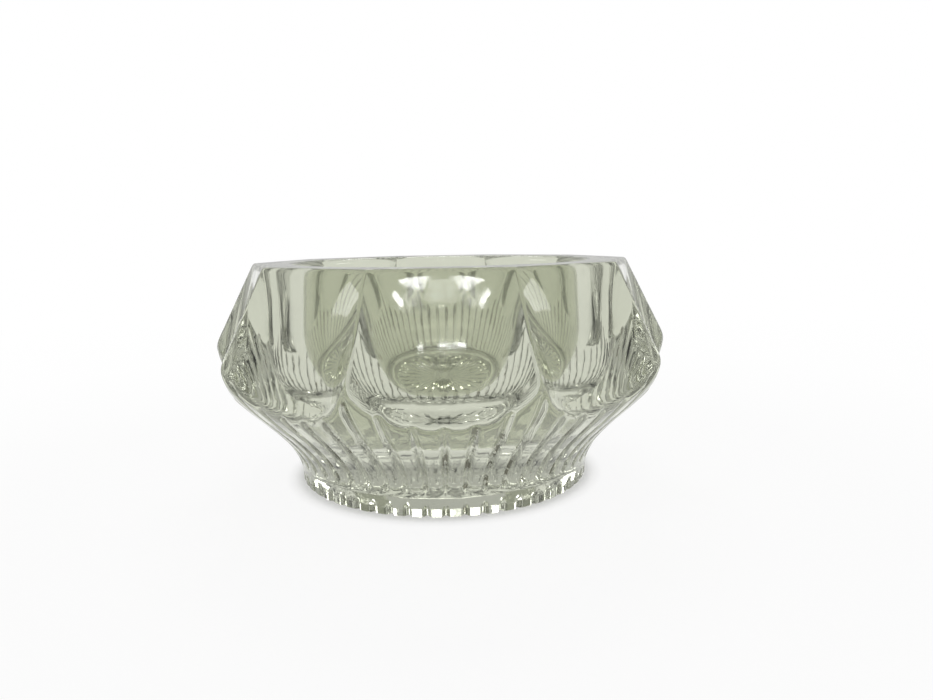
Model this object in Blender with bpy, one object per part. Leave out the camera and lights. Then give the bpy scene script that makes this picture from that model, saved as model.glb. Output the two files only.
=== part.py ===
"""Open salt cellar of clear pressed glass.

One solid dish with hollowed panels round its upper band, a ribbed underside and foot, a round bowl, and a
rayed star in the hollow under the foot.

Sizes are in millimetres and are scaled to metres where the corners are made. The dish stands on Z = 0 with
+Z up, and its axis is the Z axis. The middle of one panel faces -Y.
"""
import math

import bmesh
import bpy
from mathutils import Vector
from mathutils.geometry import interpolate_bezier

MM = 0.001

# Ribbed round body
HEIGHT = 34.35           # flat top of the lip above the table
LIP_EDGE = 0.6           # rounding of the lip's outer edge
FOOT_R = 23.3            # foot, over the ribs
FOOT_EDGE = 0.4          # rounding of the foot's bottom edge
FOOT_HANDLE = 10.2       # how long the underside's curve stays upright above the foot
BODY_R = 37.65           # where the underside's curve would end if no panels were pressed in
BODY_Z = 25.0
BODY_HANDLE = 11.5       # how long the curve stays upright there

# Ribs
RIB_COUNT = 55
RIB_DEPTH = 0.55         # grooves between the ribs
RIB_STOP = 0.3           # smooth glass between the ribs' tops and the panels, along the radius
RIB_FADE = 1.2           # distance over which the grooves run out

# Panels of the upper band, each hollowed and bounded by two upright edges
PANEL_COUNT = 10
EDGE_LIP_R = 30.1        # edges between panels, at the lip
EDGE_LOW_R = 36.75       # the same edges at PANEL_LOW_Z
PANEL_LIP_R = 28.65      # middle of a panel, at the lip
PANEL_LOW_R = 31.85      # middle of a panel, at PANEL_LOW_Z
PANEL_POWER = 4          # 2 hollows a panel like a trough; more keeps its middle flatter
PANEL_LOW_Z = 21.5
PANEL_BLEND = 1.2        # softening where a panel runs out into the round body

# Bowl
MOUTH_R = 23.0
MOUTH_ROUND = 1.0        # rounding of the lip's inner edge
WALL_TAPER = 0.1         # how far the wall narrows down to BOWL_WALL_Z
BOWL_WALL_Z = 24.5       # height where the wall turns into the floor's curve
FLOOR_Z = 11.9           # bowl's floor above the table, at the rim of its flat
FLOOR_R = 15.0           # flat of the floor
FLOOR_DISH = 0.4         # how much lower the floor's middle is
BOWL_FULL = 0.96         # handle of the bowl's curve along the wall, over its height
FLOOR_FULL = 0.04        # handle of the same curve along the floor, over its width

# Hollow under the foot, with its rayed star
HOLLOW_R = 16.5
HOLLOW_DEPTH = 1.9
HOLLOW_SLOPE = 0.8       # width of the hollow's sloping side
STAR_RAYS = 28
STAR_DEPTH = 0.5         # grooves of the star
STAR_HUB_R = 1.6         # where the grooves start
STAR_MARGIN = 1.0        # plain glass outside the star

CUT_OVER = 2.0           # how far the cutters stand out of the glass
MERGE = 0.01             # corners nearer than this become one
STEPS_PER_RIB = 4
STEPS_PER_RAY = 4
BOWL_STEPS = 96
CURVE_STEPS = 16         # on the underside's curve
BOWL_CURVE_STEPS = 9     # on the bowl's curve
ROUND_STEPS = 3          # on the small roundings
ROUND = 0.5523           # handle length of a quarter circle, over its radius


def curve(start, first_handle, second_handle, end, points):
    """Points of a smooth curve between two (radius, height) pairs."""
    corners = [Vector(pair) for pair in (start, first_handle, second_handle, end)]
    return [(point.x, point.y) for point in interpolate_bezier(*corners, points)]


def line_at(height, low_r, lip_r):
    """Radius of a straight line that runs from PANEL_LOW_Z up to the lip."""
    return low_r + (lip_r - low_r) * (height - PANEL_LOW_Z) / (HEIGHT - PANEL_LOW_Z)


def panel_radius(angle, height):
    """Radius of the panels' surface: straight upwards, hollowed between two edges."""
    pitch = math.tau / PANEL_COUNT
    across = (angle + math.pi / 2 + pitch / 2) % pitch - pitch / 2
    middle = line_at(height, PANEL_LOW_R, PANEL_LIP_R)
    edge = line_at(height, EDGE_LOW_R, EDGE_LIP_R)
    hollow = edge - middle / math.cos(pitch / 2)
    return middle / math.cos(across) + hollow * (across / (pitch / 2)) ** PANEL_POWER


def smooth_least(first, second, blend):
    """The smaller of two radii, softened where they are within `blend` of each other."""
    share = min(max(0.5 + 0.5 * (first - second) / blend, 0.0), 1.0)
    return first + (second - first) * share - blend * share * (1 - share)


def outside_radius(radius, angle, height):
    """Radius of the finished glass where the round body has `radius`."""
    panel = panel_radius(angle, height)
    fade = min(max((panel - radius - RIB_STOP) / RIB_FADE, 0.0), 1.0)
    groove = max(math.cos(RIB_COUNT * (angle + math.pi / 2)), 0.0)
    return smooth_least(radius - RIB_DEPTH * fade * groove, panel, PANEL_BLEND)


def turn(outline, steps):
    """A closed body turned about the Z axis from an outline that starts and ends on the axis."""
    bm = bmesh.new()
    verts = [bm.verts.new((0.0, -radius * MM, height * MM)) for radius, height in outline]
    edges = [bm.edges.new(pair) for pair in zip(verts, verts[1:])]
    bmesh.ops.spin(bm, geom=verts + edges, axis=(0, 0, 1), cent=(0, 0, 0), angle=math.tau, steps=steps,
                   use_merge=True)
    bmesh.ops.remove_doubles(bm, verts=bm.verts, dist=MERGE * MM)
    bmesh.ops.recalc_face_normals(bm, faces=bm.faces)
    return bm


def as_object(name, bm, collection):
    mesh = bpy.data.meshes.new(name)
    bm.to_mesh(mesh)
    bm.free()
    mesh.shade_smooth()
    thing = bpy.data.objects.new(name, mesh)
    collection.objects.link(thing)
    return thing


def ribbed_body():
    """The solid outside, with its ribs and panels."""
    foot_top = (FOOT_R, FOOT_EDGE)
    outline = [(0.0, 0.0)]
    outline += curve((FOOT_R - FOOT_EDGE, 0.0), (FOOT_R - FOOT_EDGE * (1 - ROUND), 0.0),
                     (FOOT_R, FOOT_EDGE * (1 - ROUND)), foot_top, ROUND_STEPS)
    outline += curve(foot_top, (FOOT_R, FOOT_EDGE + FOOT_HANDLE), (BODY_R, BODY_Z - BODY_HANDLE),
                     (BODY_R, BODY_Z), CURVE_STEPS)[1:]
    outline.append((BODY_R, HEIGHT - LIP_EDGE))
    outline.append((BODY_R - LIP_EDGE, HEIGHT))
    outline.append((0.0, HEIGHT))
    bm = turn(outline, RIB_COUNT * STEPS_PER_RIB)
    for vert in bm.verts:
        radius = vert.co.xy.length / MM
        if radius > HOLLOW_R + HOLLOW_SLOPE:
            inset = max(vert.co.z / MM - HEIGHT + LIP_EDGE, 0.0)
            angle = math.atan2(vert.co.y, vert.co.x)
            new_radius = outside_radius(radius + inset, angle, vert.co.z / MM) - inset
            vert.co.xy *= new_radius / radius
    return bm


def bowl_cutter():
    """The hollow of the bowl, standing out of the mouth."""
    wall_r = MOUTH_R - WALL_TAPER
    outline = [(0.0, FLOOR_Z - FLOOR_DISH)]
    outline += curve((FLOOR_R, FLOOR_Z), (FLOOR_R + (wall_r - FLOOR_R) * FLOOR_FULL, FLOOR_Z),
                     (wall_r, BOWL_WALL_Z - (BOWL_WALL_Z - FLOOR_Z) * BOWL_FULL), (wall_r, BOWL_WALL_Z),
                     BOWL_CURVE_STEPS)
    top_z = HEIGHT + CUT_OVER
    outline += curve((MOUTH_R, HEIGHT - MOUTH_ROUND), (MOUTH_R, HEIGHT - MOUTH_ROUND * (1 - ROUND)),
                     (MOUTH_R + MOUTH_ROUND * ROUND, HEIGHT), (MOUTH_R + MOUTH_ROUND + CUT_OVER, top_z),
                     ROUND_STEPS + 1)
    outline.append((0.0, top_z))
    return turn(outline, BOWL_STEPS)


def hollow_cutter():
    """The hollow under the foot, with the star's rays standing up from it."""
    star_r = HOLLOW_R - STAR_MARGIN
    middle_r = (STAR_HUB_R + star_r) / 2
    over_r = HOLLOW_R + HOLLOW_SLOPE * (HOLLOW_DEPTH + CUT_OVER) / HOLLOW_DEPTH
    outline = [(radius, HOLLOW_DEPTH) for radius in (0.0, STAR_HUB_R, middle_r, star_r, HOLLOW_R)]
    outline += [(over_r, -CUT_OVER), (0.0, -CUT_OVER)]
    bm = turn(outline, STAR_RAYS * STEPS_PER_RAY)
    for vert in bm.verts:
        radius = vert.co.xy.length / MM
        if vert.co.z > 0:
            reach = max(1 - abs(radius - middle_r) / (star_r - middle_r), 0.0)
            ray = 0.5 + 0.5 * math.cos(STAR_RAYS * math.atan2(vert.co.y, vert.co.x))
            vert.co.z += STAR_DEPTH * reach * ray * MM
    return bm


def clear_glass():
    material = bpy.data.materials.new("clear_glass")
    material.use_nodes = True
    shader = material.node_tree.nodes["Principled BSDF"]
    shader.inputs["Base Color"].default_value = (0.83, 0.87, 0.79, 1.0)
    shader.inputs["Roughness"].default_value = 0.04
    shader.inputs["IOR"].default_value = 1.51
    shader.inputs["Transmission Weight"].default_value = 1.0
    return material


def cut(thing, name, bm, collection):
    """Take a cutter out of a thing."""
    cutter = as_object(name, bm, collection)
    cutter.hide_render = True
    cutter.display_type = "WIRE"
    modifier = thing.modifiers.new(name, "BOOLEAN")
    modifier.operation = "DIFFERENCE"
    modifier.solver = "EXACT"
    modifier.object = cutter


for old in list(bpy.data.objects):
    bpy.data.objects.remove(old)
parts = bpy.data.collections.new("salt_cellar")
cutters = bpy.data.collections.new("cutters")
for group in (parts, cutters):
    bpy.context.scene.collection.children.link(group)
dish = as_object("glass_dish", ribbed_body(), parts)
dish.data.materials.append(clear_glass())
cut(dish, "bowl_cutter", bowl_cutter(), cutters)
cut(dish, "hollow_cutter", hollow_cutter(), cutters)
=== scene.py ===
# %% [markdown]
# # A pressed-glass salt cellar
# One lump of clear glass, pressed in a mould: ten hollowed panels round the top, fine ribs below, an open bowl
# and a star under the foot. Grooves could be cut out with Booleans, but pressed glass has no razor edges. So a
# blank is turned as on a lathe, its corners are moved by formulas, and the rest of the effort goes into the
# glass, because a clear object is mostly a picture of what lies behind it.

# %% The frame to build in
import math
import bmesh
import bpy
from mathutils import Matrix, Vector
from mathutils.geometry import interpolate_bezier


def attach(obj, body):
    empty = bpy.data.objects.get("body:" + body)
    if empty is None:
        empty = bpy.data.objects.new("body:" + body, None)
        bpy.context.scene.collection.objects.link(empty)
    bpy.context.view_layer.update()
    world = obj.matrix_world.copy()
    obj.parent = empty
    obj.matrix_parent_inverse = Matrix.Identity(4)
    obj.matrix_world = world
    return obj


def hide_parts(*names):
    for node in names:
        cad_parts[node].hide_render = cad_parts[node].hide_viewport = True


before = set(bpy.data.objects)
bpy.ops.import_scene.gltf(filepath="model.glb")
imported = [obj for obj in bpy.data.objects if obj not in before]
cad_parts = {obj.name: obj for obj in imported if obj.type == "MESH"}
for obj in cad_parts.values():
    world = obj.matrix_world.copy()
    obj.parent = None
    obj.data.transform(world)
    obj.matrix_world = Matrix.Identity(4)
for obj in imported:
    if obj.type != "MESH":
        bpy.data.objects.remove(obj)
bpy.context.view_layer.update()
MM = 0.001

# %% [markdown]
# ## Sizes
# All sizes are in millimetres, with +Z up and the middle of one panel facing -Y. The round body is one smooth
# curve from the foot to a point beyond the shoulder. Each panel is described by two straight lines: the edge
# between two panels, and the middle of a panel.

# %% Sizes of the outside
HEIGHT, LIP_EDGE = 34.35, 0.6
FOOT_R, FOOT_EDGE, FOOT_HANDLE = 23.3, 0.4, 10.2
BODY_R, BODY_Z, BODY_HANDLE = 37.65, 25.0, 11.5
RIB_COUNT, RIB_DEPTH, RIB_CROWN = 55, 0.6, 0.12
GROOVE_SHARE, RIB_STOP, RIB_FADE = 0.2, -0.15, 0.5
PANEL_COUNT, PANEL_LOW_Z, PANEL_BLEND = 10, 21.5, 1.2
EDGE_LIP_R, EDGE_LOW_R = 30.05, 36.7
PANEL_LIP_R, PANEL_LOW_R, PANEL_SHAPE = 28.65, 31.85, 4
print("height", HEIGHT, "mm,", RIB_COUNT, "ribs,", PANEL_COUNT, "panels")

# %% [markdown]
# The bowl is shallow and its bottom is thick. That can't be measured directly, but the star under the foot and
# the ribs of the far side are seen through it, and their places in the picture depend on it.

# %% Sizes of the bowl and the star
MOUTH_R, MOUTH_ROUND, WALL_TAPER = 23.0, 1.0, 0.1
BOWL_WALL_Z, BOWL_FULL, FLOOR_FULL = 24.5, 0.96, 0.04
FLOOR_Z, FLOOR_R, FLOOR_DISH = 11.9, 15.0, 0.4
HOLLOW_R, HOLLOW_DEPTH, HOLLOW_SLOPE = 16.5, 1.9, 0.8
STAR_RAYS, STAR_DEPTH, STAR_HUB_R, STAR_MARGIN = 28, 0.7, 1.6, 1.0
print("glass under the bowl:", FLOOR_Z - FLOOR_DISH - HOLLOW_DEPTH, "mm")

# %% [markdown]
# ## The outline
# Half a section of the blank could be typed as points. Bezier curves need fewer numbers and stay smooth: two
# handles of 0.5523 times the radius make a quarter circle, and longer ones make the fuller curve of the body.

# %% Curves for the outline
ROUND = 0.5523


def bend(start, first, second, end, points):
    """A curve from start to end; the handles are given as whole points."""
    corners = [Vector(pair) for pair in (start, first, second, end)]
    return [(point.x, point.y) for point in interpolate_bezier(*corners, points)]


def straight(start, end, points):
    """Evenly spaced points from start to end."""
    thirds = [Vector(start).lerp(Vector(end), share) for share in (1 / 3, 2 / 3)]
    return bend(start, *thirds, end, points)


print("a quarter circle:", bend((0, 0), (ROUND, 0), (1, 1 - ROUND), (1, 1), 3))

# %% [markdown]
# The walk starts in the middle of the star, goes out over the resting ring, up the ribbed side and over the lip.

# %% Foot, side and lip
foot_top = (FOOT_R, FOOT_EDGE)
lip_low = (BODY_R, HEIGHT - LIP_EDGE)
section = straight((0, HOLLOW_DEPTH), (HOLLOW_R, HOLLOW_DEPTH), 14)
section += straight((HOLLOW_R + HOLLOW_SLOPE, 0), (FOOT_R - FOOT_EDGE, 0), 4)
section += bend((FOOT_R - FOOT_EDGE, 0), (FOOT_R - FOOT_EDGE * (1 - ROUND), 0),
                (FOOT_R, FOOT_EDGE * (1 - ROUND)), foot_top, 6)[1:]
section += bend(foot_top, (FOOT_R, FOOT_EDGE + FOOT_HANDLE), (BODY_R, BODY_Z - BODY_HANDLE),
                (BODY_R, BODY_Z), 56)[1:]
section += straight((BODY_R, BODY_Z), lip_low, 12)[1:]
section += bend(lip_low, (BODY_R, HEIGHT - LIP_EDGE * (1 - ROUND)),
                (BODY_R - LIP_EDGE * (1 - ROUND), HEIGHT), (BODY_R - LIP_EDGE, HEIGHT), 5)[1:]
section += straight((BODY_R - LIP_EDGE, HEIGHT), (MOUTH_R + MOUTH_ROUND, HEIGHT), 5)[1:]
print("points up to the mouth:", len(section))

# %% [markdown]
# From the mouth it goes down the steep wall and along the floor, which is dished a little.

# %% Mouth and bowl
wall_r = MOUTH_R - WALL_TAPER
mouth_low = (MOUTH_R, HEIGHT - MOUTH_ROUND)
section += bend((MOUTH_R + MOUTH_ROUND, HEIGHT), (MOUTH_R + MOUTH_ROUND * (1 - ROUND), HEIGHT),
                (MOUTH_R, HEIGHT - MOUTH_ROUND * (1 - ROUND)), mouth_low, 6)[1:]
section += straight(mouth_low, (wall_r, BOWL_WALL_Z), 8)[1:]
section += bend((wall_r, BOWL_WALL_Z), (wall_r, BOWL_WALL_Z - (BOWL_WALL_Z - FLOOR_Z) * BOWL_FULL),
                (FLOOR_R + (wall_r - FLOOR_R) * FLOOR_FULL, FLOOR_Z), (FLOOR_R, FLOOR_Z), 24)[1:]
section += straight((FLOOR_R, FLOOR_Z), (0, FLOOR_Z - FLOOR_DISH), 6)[1:]
print("points in the whole section:", len(section))

# %% [markdown]
# ## Turning the blank
# `bmesh.ops.spin` carries the section once round the Z axis. `use_merge` joins the last column to the first, and
# `remove_doubles` closes the two points on the axis. Twelve columns to a rib leave room for a groove's shape.

# %% Spinning the section
dish_bm = bmesh.new()
chain = [dish_bm.verts.new((0, -radius * MM, height * MM)) for radius, height in section]
links = [dish_bm.edges.new(pair) for pair in zip(chain, chain[1:])]
bmesh.ops.spin(dish_bm, geom=chain + links, axis=(0, 0, 1), cent=(0, 0, 0), angle=math.tau,
               steps=RIB_COUNT * 12, use_merge=True)
bmesh.ops.remove_doubles(dish_bm, verts=dish_bm.verts, dist=1e-7)
print("blank:", len(dish_bm.verts), "corners,", len(dish_bm.faces), "faces")

# %% [markdown]
# ## Formulas of the pattern
# The mould presses the panels into the round body, so the finished radius is the smaller of the two. A smooth
# minimum softens the seam, as hot glass does. A panel is hollowed with a fourth power, which keeps its middle
# nearly flat and turns it up quickly towards its edges: the reflections in the front panel show that shape.

# %% Panels and soft steps
def line_at(height, low_r, lip_r):
    """Radius on a straight line from PANEL_LOW_Z up to the lip."""
    return low_r + (lip_r - low_r) * (height - PANEL_LOW_Z) / (HEIGHT - PANEL_LOW_Z)


def panel_radius(angle, height):
    """Radius of the panels' surface."""
    pitch = math.tau / PANEL_COUNT
    across = (angle + math.pi / 2 + pitch / 2) % pitch - pitch / 2
    middle = line_at(height, PANEL_LOW_R, PANEL_LIP_R)
    hollow = line_at(height, EDGE_LOW_R, EDGE_LIP_R) - middle / math.cos(pitch / 2)
    return middle / math.cos(across) + hollow * (across / (pitch / 2)) ** PANEL_SHAPE


def smooth_least(first, second, blend):
    """The smaller of two radii, softened where they are close."""
    share = min(max(0.5 + 0.5 * (first - second) / blend, 0.0), 1.0)
    return first + (second - first) * share - blend * share * (1 - share)


def ease(value):
    """A soft step from 0 to 1."""
    value = min(max(value, 0.0), 1.0)
    return value * value * (3 - 2 * value)


print("panel middle at the lip:", panel_radius(-math.pi / 2, HEIGHT), "mm")

# %% [markdown]
# ## Pressing panels and ribs
# The ribs are slightly crowned, with a narrow V between two of them. They die out where the panel is reached, so
# their tops follow the scalloped feet of the panels. How deep a corner lies in a groove is kept in an attribute,
# because old dirt sits there. On the lip only the outer edge follows the panels, so its inner edge stays round.

# %% The outside
groove_layer = dish_bm.verts.layers.float.new("groove")
mouth_edge = MOUTH_R + MOUTH_ROUND


def press_outside(vert, radius, angle, height):
    """Move one corner of the outside to its place in the pattern."""
    on_lip = height > HEIGHT - LIP_EDGE
    body = BODY_R if on_lip else radius
    panel = panel_radius(angle, height)
    phase = (RIB_COUNT * (angle + math.pi / 2) / math.tau) % 1.0
    off = min(phase, 1 - phase)
    alive = ease((panel - body - RIB_STOP) / RIB_FADE)
    groove = ease(1 - off / GROOVE_SHARE) * alive
    crown = RIB_CROWN * (1 - 2 * off) ** 2 * alive
    final = smooth_least(body - RIB_DEPTH * groove - crown, panel, PANEL_BLEND)
    if on_lip:
        final = mouth_edge + (final - mouth_edge) * (radius - mouth_edge) / (BODY_R - mouth_edge)
    vert.co.xy *= final / radius
    vert[groove_layer] = groove


print("groove at the bottom of a V:", RIB_DEPTH, "mm")

# %% [markdown]
# ## Pressing the star
# A star of fine rays is a traditional way to dress the underside of a dish. Each ray is a ridge between two
# straight slopes, which catches the light better than a wave would.

# %% The star, and all corners moved
star_r = HOLLOW_R - STAR_MARGIN


def press_star(vert, radius, angle):
    """Raise one corner of the hollow under the foot."""
    reach = ease((radius - STAR_HUB_R) / 3) * ease((star_r - radius) / 2.5)
    ray = abs(2 * ((STAR_RAYS * angle / math.tau) % 1.0) - 1)
    vert.co.z += STAR_DEPTH * reach * ray * MM


for vert in dish_bm.verts:
    radius, height = vert.co.xy.length / MM, vert.co.z / MM
    angle = math.atan2(vert.co.y, vert.co.x)
    if radius > mouth_edge + 0.01 or (radius > FOOT_R - FOOT_EDGE - 0.01 and height < 2):
        press_outside(vert, radius, angle, height)
    elif height < HOLLOW_DEPTH + 0.1 and radius < HOLLOW_R:
        press_star(vert, radius, angle)
bmesh.ops.recalc_face_normals(dish_bm, faces=dish_bm.faces)
for face in dish_bm.faces:
    face.smooth = True
print("pattern pressed")

# %% [markdown]
# ## The dish as an object
# The dish is one piece, so it rides on the one body and stands for the one solid of the frame.

# %% Dish
dish_mesh = bpy.data.meshes.new("glass_dish_visual")
dish_bm.to_mesh(dish_mesh)
dish_bm.free()
dish = bpy.data.objects.new("glass_dish_visual", dish_mesh)
bpy.context.scene.collection.objects.link(dish)
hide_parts("glass_dish")
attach(dish, "root")
print("triangles:", sum(len(face.vertices) - 2 for face in dish_mesh.polygons))

# %% [markdown]
# ## Old clear glass
# A Principled shader with full transmission is the shortest way to glass. Four small helpers keep the node code
# readable: noise on Object coordinates, a change of range, arithmetic, and a mix of two colours.

# %% Helpers for the glass nodes
glass = bpy.data.materials.new("clear_glass_visual")
glass.use_nodes = True
nodes, wires = glass.node_tree.nodes, glass.node_tree.links
shader = nodes["Principled BSDF"]
shader.inputs["IOR"].default_value = 1.51
shader.inputs["Transmission Weight"].default_value = 1.0
place = nodes.new("ShaderNodeTexCoord")


def feed(slot, value):
    """Set a socket, or wire it to another one."""
    if isinstance(value, bpy.types.NodeSocket):
        wires.new(value, slot)
    else:
        slot.default_value = value


def noise(scale, detail, roughness=0.5):
    node = nodes.new("ShaderNodeTexNoise")
    for name, value in (("Scale", scale), ("Detail", detail), ("Roughness", roughness)):
        node.inputs[name].default_value = value
    wires.new(place.outputs["Object"], node.inputs["Vector"])
    return node.outputs["Fac"]


def spread(value, low, high, to_low, to_high):
    node = nodes.new("ShaderNodeMapRange")
    for name, number in (("From Min", low), ("From Max", high), ("To Min", to_low), ("To Max", to_high)):
        node.inputs[name].default_value = number
    wires.new(value, node.inputs["Value"])
    return node.outputs["Result"]


def combine(operation, first, second):
    node = nodes.new("ShaderNodeMath")
    node.operation = operation
    feed(node.inputs[0], first)
    feed(node.inputs[1], second)
    return node.outputs["Value"]


def mix_colour(factor, first, second):
    node = nodes.new("ShaderNodeMix")
    node.data_type = "RGBA"
    for index, value in ((0, factor), (6, first), (7, second)):
        feed(node.inputs[index], value)
    return node.outputs[2]


print("glass started")

# %% [markdown]
# The glass is grey-green and not quite even, so two near tints are mixed by a broad noise. Brown dirt has settled
# in some of the grooves: the groove attribute says where, fine noise breaks it into specks, and a broad noise
# leaves other stretches clean.

# %% Tint and dirt
groove_fact = nodes.new("ShaderNodeAttribute")
groove_fact.attribute_name = "groove"
tint = mix_colour(spread(noise(60, 3), 0.35, 0.65, 0, 1), (0.628, 0.65, 0.54, 1), (0.68, 0.7, 0.592, 1))
specks = spread(noise(420, 5, 0.7), 0.45, 0.55, 0, 0.95)
stretches = spread(noise(90, 2), 0.45, 0.56, 0.1, 1)
in_groove = spread(groove_fact.outputs["Fac"], 0.1, 0.6, 0, 1)
dirt = combine("MULTIPLY", in_groove, combine("MULTIPLY", specks, stretches))
feed(shader.inputs["Base Color"], mix_colour(dirt, tint, (0.05, 0.042, 0.018, 1)))
print("tint and dirt ready")

# %% [markdown]
# Years of use leave a fine haze, and dirt is dull. The pressed underside has an uneven skin, while panels and bowl
# were fire-polished, so the bump fades with height. Absorption makes long ways through the glass a little darker
# than short ones, as real depth of glass does.

# %% Haze, skin and depth
haze = spread(noise(900, 4, 0.7), 0.4, 0.8, 0.03, 0.12)
feed(shader.inputs["Roughness"], combine("ADD", haze, combine("MULTIPLY", dirt, 0.3)))
height_split = nodes.new("ShaderNodeSeparateXYZ")
feed(height_split.inputs["Vector"], place.outputs["Object"])
unpolished = spread(height_split.outputs["Z"], 0.017, 0.023, 1, 0.1)
skin = nodes.new("ShaderNodeBump")
skin.inputs["Strength"].default_value = 0.28
skin.inputs["Distance"].default_value = 0.0004
feed(skin.inputs["Height"], combine("MULTIPLY", noise(200, 3), unpolished))
feed(shader.inputs["Normal"], skin.outputs["Normal"])
depth = nodes.new("ShaderNodeVolumeAbsorption")
depth.inputs["Color"].default_value = (0.80, 0.82, 0.73, 1)
depth.inputs["Density"].default_value = 7
feed(nodes["Material Output"].inputs["Volume"], depth.outputs["Volume"])
dish_mesh.materials.append(glass)
print("glass nodes:", len(nodes))

# %% [markdown]
# ## Floor
# The floor lies a tenth of a millimetre under the foot. Were the two faces in one plane, rays would find now the
# one and now the other, and the light that glass sends back from its own underside would be lost.

# %% Floor plane
floor_bm = bmesh.new()
bmesh.ops.create_grid(floor_bm, x_segments=1, y_segments=1, size=1.5)
floor_mesh = bpy.data.meshes.new("floor")
floor_bm.to_mesh(floor_mesh)
floor_bm.free()
floor = bpy.data.objects.new("floor", floor_mesh)
floor.location.z = -0.0001
bpy.context.scene.collection.objects.link(floor)
print("floor laid at", floor.location.z)

# %% [markdown]
# White paint alone turns grey under plain studio light. So the floor and the background are white to rays from the
# camera, and to rays that come by way of a reflection or through the glass, without adding light to the dish.

# %% Which rays look at the background
def looked_at(tree):
    """1 for rays from the camera, a reflection or the glass, 0 for the others."""
    path = tree.nodes.new("ShaderNodeLightPath")
    answer = path.outputs["Is Camera Ray"]
    for name in ("Is Glossy Ray", "Is Transmission Ray"):
        either = tree.nodes.new("ShaderNodeMath")
        either.operation = "MAXIMUM"
        tree.links.new(answer, either.inputs[0])
        tree.links.new(path.outputs[name], either.inputs[1])
        answer = either.outputs["Value"]
    return answer


print("ray test ready")

# %% [markdown]
# The floor mixes plain paint, which keeps its real shadow, with a white glow whose share is painted light and
# shade.
# The share rises with the distance from the dish and drops in a narrow ring under the foot's edge, a painted
# contact shade. Under the resting ring and just beyond the foot's edge it is high: painted light, standing for
# light sent down through the glass. Stops are metres times three.

# %% White floor: real shadow, painted glow and painted shade
pale = bpy.data.materials.new("pale_floor")
pale.use_nodes = True
pale_nodes, pale_wires = pale.node_tree.nodes, pale.node_tree.links
paint = pale_nodes["Principled BSDF"]
paint.inputs["Base Color"].default_value = (0.9, 0.9, 0.9, 1)
paint.inputs["Roughness"].default_value = 0.9
spot = pale_nodes.new("ShaderNodeTexCoord")
reach = pale_nodes.new("ShaderNodeVectorMath")
reach.operation = "LENGTH"
stretch = pale_nodes.new("ShaderNodeMath")
stretch.operation = "MULTIPLY"
stretch.inputs[1].default_value = 3.0
painted_light_ramp = pale_nodes.new("ShaderNodeValToRGB")
stops = painted_light_ramp.color_ramp.elements
# Painted light and shade: the glow is 0.75 under the middle, full under most of the resting ring, low under the
# foot's edge and high again just beyond it.
stops[0].position, stops[0].color = 0.045, (0.75, 0.75, 0.75, 1)
stops[1].position, stops[1].color = 0.8, (1, 1, 1, 1)
for position, level in ((0.052, 1.0), (0.0635, 1.0), (0.0655, 0.35), (0.07, 0.35), (0.076, 0.9),
                        (0.2, 0.84), (0.4, 0.95)):
    stops.new(position).color = (level, level, level, 1)
share = pale_nodes.new("ShaderNodeMath")
share.operation = "MULTIPLY"
white = pale_nodes.new("ShaderNodeEmission")
blend = pale_nodes.new("ShaderNodeMixShader")
pale_wires.new(spot.outputs["Object"], reach.inputs[0])
pale_wires.new(reach.outputs["Value"], stretch.inputs[0])
pale_wires.new(stretch.outputs["Value"], painted_light_ramp.inputs["Fac"])
pale_wires.new(looked_at(pale.node_tree), share.inputs[0])
pale_wires.new(painted_light_ramp.outputs["Color"], share.inputs[1])
pale_wires.new(share.outputs["Value"], blend.inputs["Fac"])
pale_wires.new(paint.outputs["BSDF"], blend.inputs[1])
pale_wires.new(white.outputs["Emission"], blend.inputs[2])
pale_wires.new(blend.outputs["Shader"], pale_nodes["Material Output"].inputs["Surface"])
floor_mesh.materials.append(pale)
print("stops on the floor:", len(stops))

# %% [markdown]
# ## Background
# The world gives the soft grey light that fills the scene, and looks white where it is seen.

# %% Background
world = bpy.data.worlds.new("studio")
bpy.context.scene.world = world
world.use_nodes = True
sky = world.node_tree
shade = sky.nodes.new("ShaderNodeMix")
shade.data_type = "RGBA"
shade.inputs[6].default_value = (0.75, 0.75, 0.75, 1)
shade.inputs[7].default_value = (1, 1, 1, 1)
sky.links.new(looked_at(sky), shade.inputs[0])
sky.links.new(shade.outputs[2], sky.nodes["Background"].inputs["Color"])
print("background ready")

# %% [markdown]
# ## Grey tent
# In an all-white room clear glass has no shape. A photographer hangs grey cloth round it, out of the picture. The
# tent is half a sphere that only reflections and the glass can see, so it takes no light from the floor.

# %% Tent
tent_bm = bmesh.new()
bmesh.ops.create_uvsphere(tent_bm, u_segments=48, v_segments=24, radius=1.2)
bmesh.ops.bisect_plane(tent_bm, geom=tent_bm.verts[:] + tent_bm.edges[:] + tent_bm.faces[:],
                       plane_co=(0, 0, 0.03), plane_no=(0, 0, 1), clear_inner=True)
tent_mesh = bpy.data.meshes.new("grey_tent")
tent_bm.to_mesh(tent_mesh)
tent_bm.free()
tent = bpy.data.objects.new("grey_tent", tent_mesh)
bpy.context.scene.collection.objects.link(tent)
tent.visible_camera = False
tent.visible_diffuse = False
tent.visible_shadow = False
cloth = bpy.data.materials.new("grey_cloth")
cloth.use_nodes = True
cloth_shader = cloth.node_tree.nodes["Principled BSDF"]
cloth_shader.inputs["Base Color"].default_value = (0, 0, 0, 1)
cloth_shader.inputs["Specular IOR Level"].default_value = 0
cloth_shader.inputs["Emission Color"].default_value = (1, 1, 1, 1)
cloth_shader.inputs["Emission Strength"].default_value = 0.58
tent_mesh.materials.append(cloth)
print("tent faces:", len(tent_mesh.polygons))

# %% [markdown]
# ## Lamps
# A lamp is seen in glass as a bright patch, so its place, size and brightness are chosen by the patch it makes. An
# area lamp's energy grows with its area, so the helper takes the brightness of its face instead.

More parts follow.
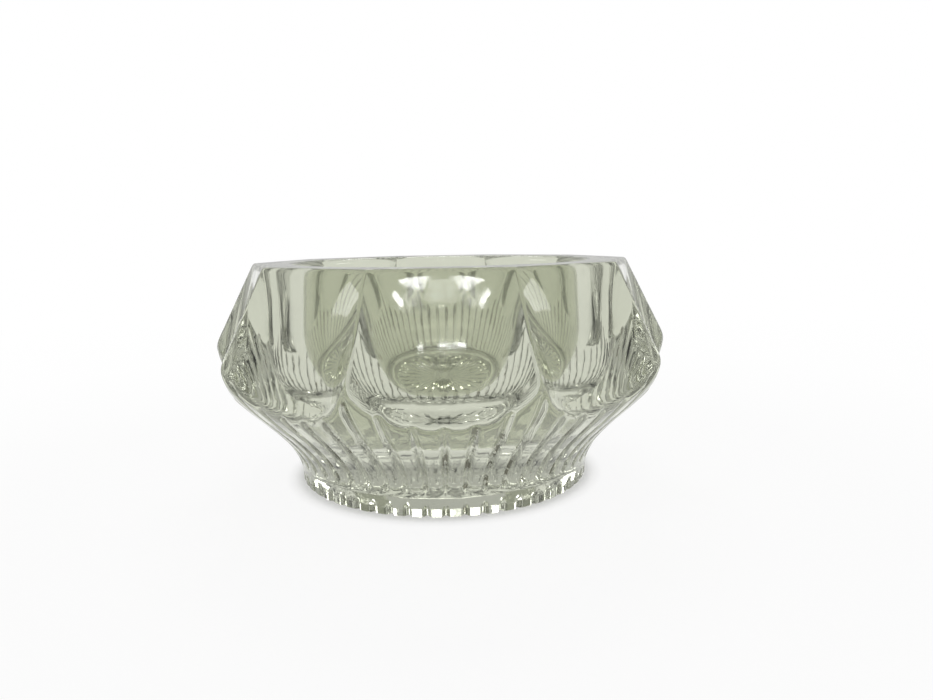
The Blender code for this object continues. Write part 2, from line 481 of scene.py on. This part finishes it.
# %% Lamp helpers
def lamp(name, place, size, radiance):
    """A rectangular lamp that faces the dish; radiance is how bright its face looks."""
    data = bpy.data.lights.new(name, "AREA")
    data.shape = "RECTANGLE"
    data.size, data.size_y = size
    data.energy = radiance * math.pi * size[0] * size[1]
    thing = bpy.data.objects.new(name, data)
    thing.location = place
    thing.rotation_euler = (Vector((0, 0, 0.02)) - Vector(place)).to_track_quat("-Z", "Y").to_euler()
    bpy.context.scene.collection.objects.link(thing)


def from_front(azimuth, elevation, distance):
    """A place seen from the dish: azimuth from the front towards +X, elevation from the table, in degrees."""
    flat = distance * math.cos(math.radians(elevation))
    turn = math.radians(azimuth)
    return flat * math.sin(turn), -flat * math.cos(turn), 0.03 + distance * math.sin(math.radians(elevation))


print("straight ahead:", from_front(0, 0, 0.5))

# %% [markdown]
# The window behind lights the cells at the foot's edge. The small ones in front are mirrored by the front panel:
# two bright spots at its top, a paler patch between them and a short dash in its middle.

# %% Lamps
lamp("back_window", from_front(180, 50, 0.6), (0.3, 0.12), 6)
lamp("front_window", (0, -0.487, 0.232), (0.019, 0.0175), 4)
lamp("tube", (0.002, -0.503, 0.19), (0.01, 0.0035), 24)
for side in (-1, 1):
    lamp(f"spot_{side}", (0.0217 * side, -0.481, 0.2465), (0.02, 0.03), 20)
    lamp(f"side_window_{side}", from_front(97 * side, 17.5, 0.5), (0.17, 0.08), 3)
print("lamps:", len(bpy.data.lights))

# %% [markdown]
# ## Camera
# The dish was seen from close by and a little above. The focal length is given in pixels of a picture 933 wide,
# and three turns aim the camera: down, to the right, and a slight roll.

# %% Camera
camera = bpy.data.objects.new("camera", bpy.data.cameras.new("camera"))
camera.data.sensor_width = 36
camera.data.lens = 718.2 / 933 * 36
camera.data.clip_start = 0.005
aim = Matrix.Rotation(math.radians(-1.928), 4, "Z") @ Matrix.Rotation(math.radians(80.85), 4, "X")
aim = aim @ Matrix.Rotation(math.radians(-0.933), 4, "Z")
camera.matrix_world = Matrix.Translation((0, -0.117, 0.03839)) @ aim
bpy.context.scene.collection.objects.link(camera)
bpy.context.scene.camera = camera
bpy.context.scene.view_settings.view_transform = "Standard"
print("lens:", camera.data.lens, "mm")
